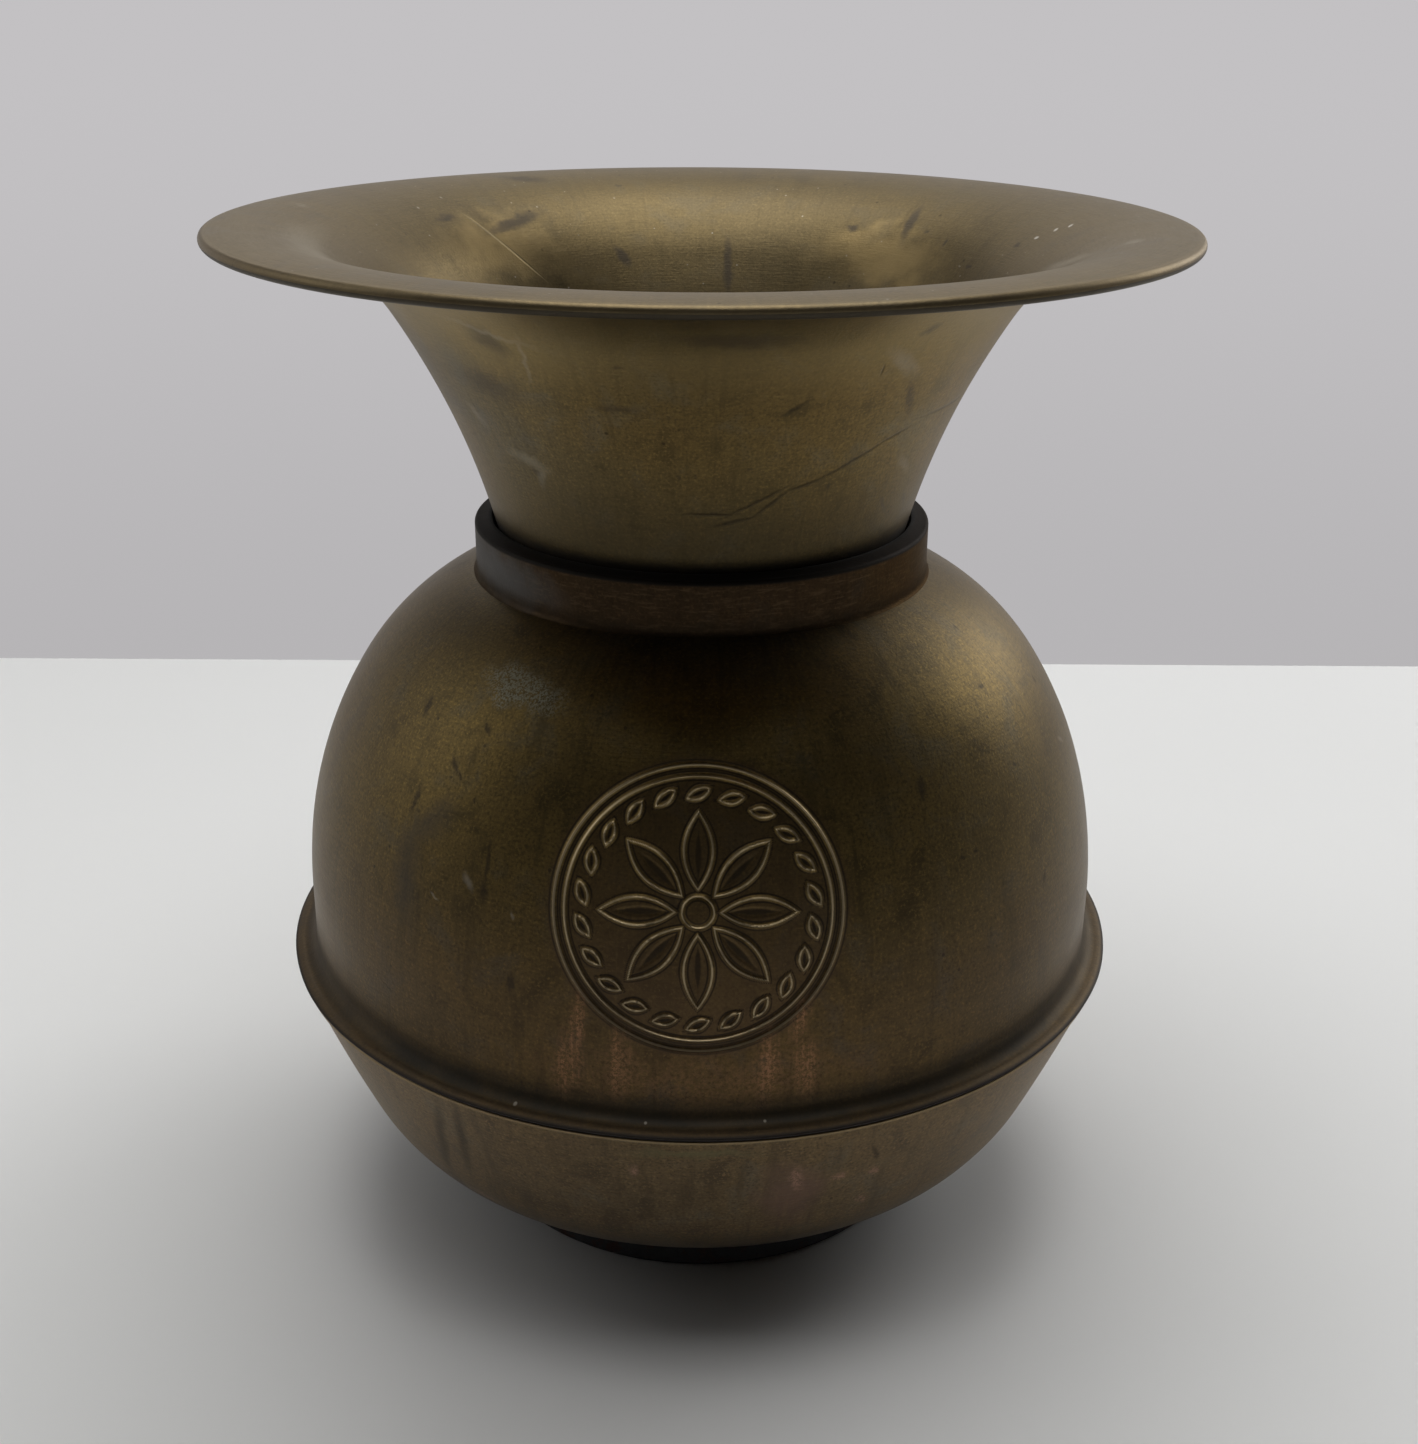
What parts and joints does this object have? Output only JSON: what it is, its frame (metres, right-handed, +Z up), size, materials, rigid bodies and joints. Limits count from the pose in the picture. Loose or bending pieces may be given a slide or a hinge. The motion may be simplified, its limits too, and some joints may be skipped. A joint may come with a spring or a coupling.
{
  "type": "spittoon",
  "caption": "Spun brass spittoon: wide funnel that turns and lifts out of a collar on a domed body, seamed to a bowl with a bolted cast-iron weight.",
  "frame": {"origin": "centre of the foot's underside, on the surface the vessel stands on", "axes": "+Z up along the vessel's axis; the medallion faces -Y"},
  "size_m": [0.254, 0.254, 0.2808],
  "materials": {
    "aged_brass": "aged",
    "steel": "dull",
    "black_leather": "matte",
    "brown_leather": "matte",
    "cast_iron": "rough"
  },
  "bodies": {
    "vessel": {"upper_body": "aged_brass", "lower_bowl": "aged_brass", "neck_collar": "aged_brass", "foot_weight": "cast_iron", "base_bolt": "steel", "head_washer": "steel", "seal_washer": "brown_leather", "nut_washer": "steel", "base_nut": "steel"},
    "washer": {"seat_washer": "black_leather"},
    "funnel": {"funnel": "aged_brass", "rim_wire": "steel"}
  },
  "joints": [
    {"name": "funnel_turn", "type": "hinge", "parent": "vessel", "child": "washer", "pos_m": [0, 0, 0.1888], "axis": [0, 0, 1], "continuous": true},
    {"name": "funnel_lift", "type": "slide", "parent": "washer", "child": "funnel", "axis": [0, 0, 1], "range_m": [0, 0.06]}
  ]
}
